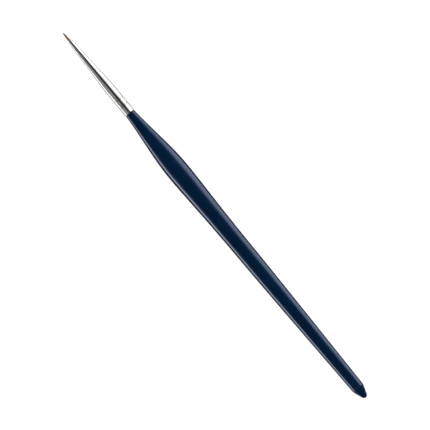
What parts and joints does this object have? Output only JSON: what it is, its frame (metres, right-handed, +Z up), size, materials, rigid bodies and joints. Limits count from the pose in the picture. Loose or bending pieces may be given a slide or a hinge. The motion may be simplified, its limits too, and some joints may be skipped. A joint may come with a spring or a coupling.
{
  "type": "fine detail brush",
  "caption": "Slim artist's brush with a lacquered, swelling wooden handle that tapers to a coned tail, a crimped nickel ferrule and a tiny pointed tuft.",
  "frame": {"origin": "middle of the brush's length, on the surface that the handle's crest touches when the brush lies with its axis level", "axes": "+X along the brush from the tail to the tip of the tuft, +Z up"},
  "size_m": [0.175, 0.0084, 0.0084],
  "materials": {
    "navy_lacquer": "gloss",
    "hardwood": "bare",
    "nickel_plate": "polished",
    "adhesive": "cured",
    "brown_hair": "natural",
    "cotton_thread": "natural",
    "setting_resin": "cured"
  },
  "bodies": {
    "root": {"handle_core": "hardwood", "lacquer_coat": "navy_lacquer", "handle_glue": "adhesive", "ferrule": "nickel_plate", "setting_resin": "setting_resin", "binding_thread": "cotton_thread", "hair_tuft": "brown_hair"}
  },
  "joints": []
}
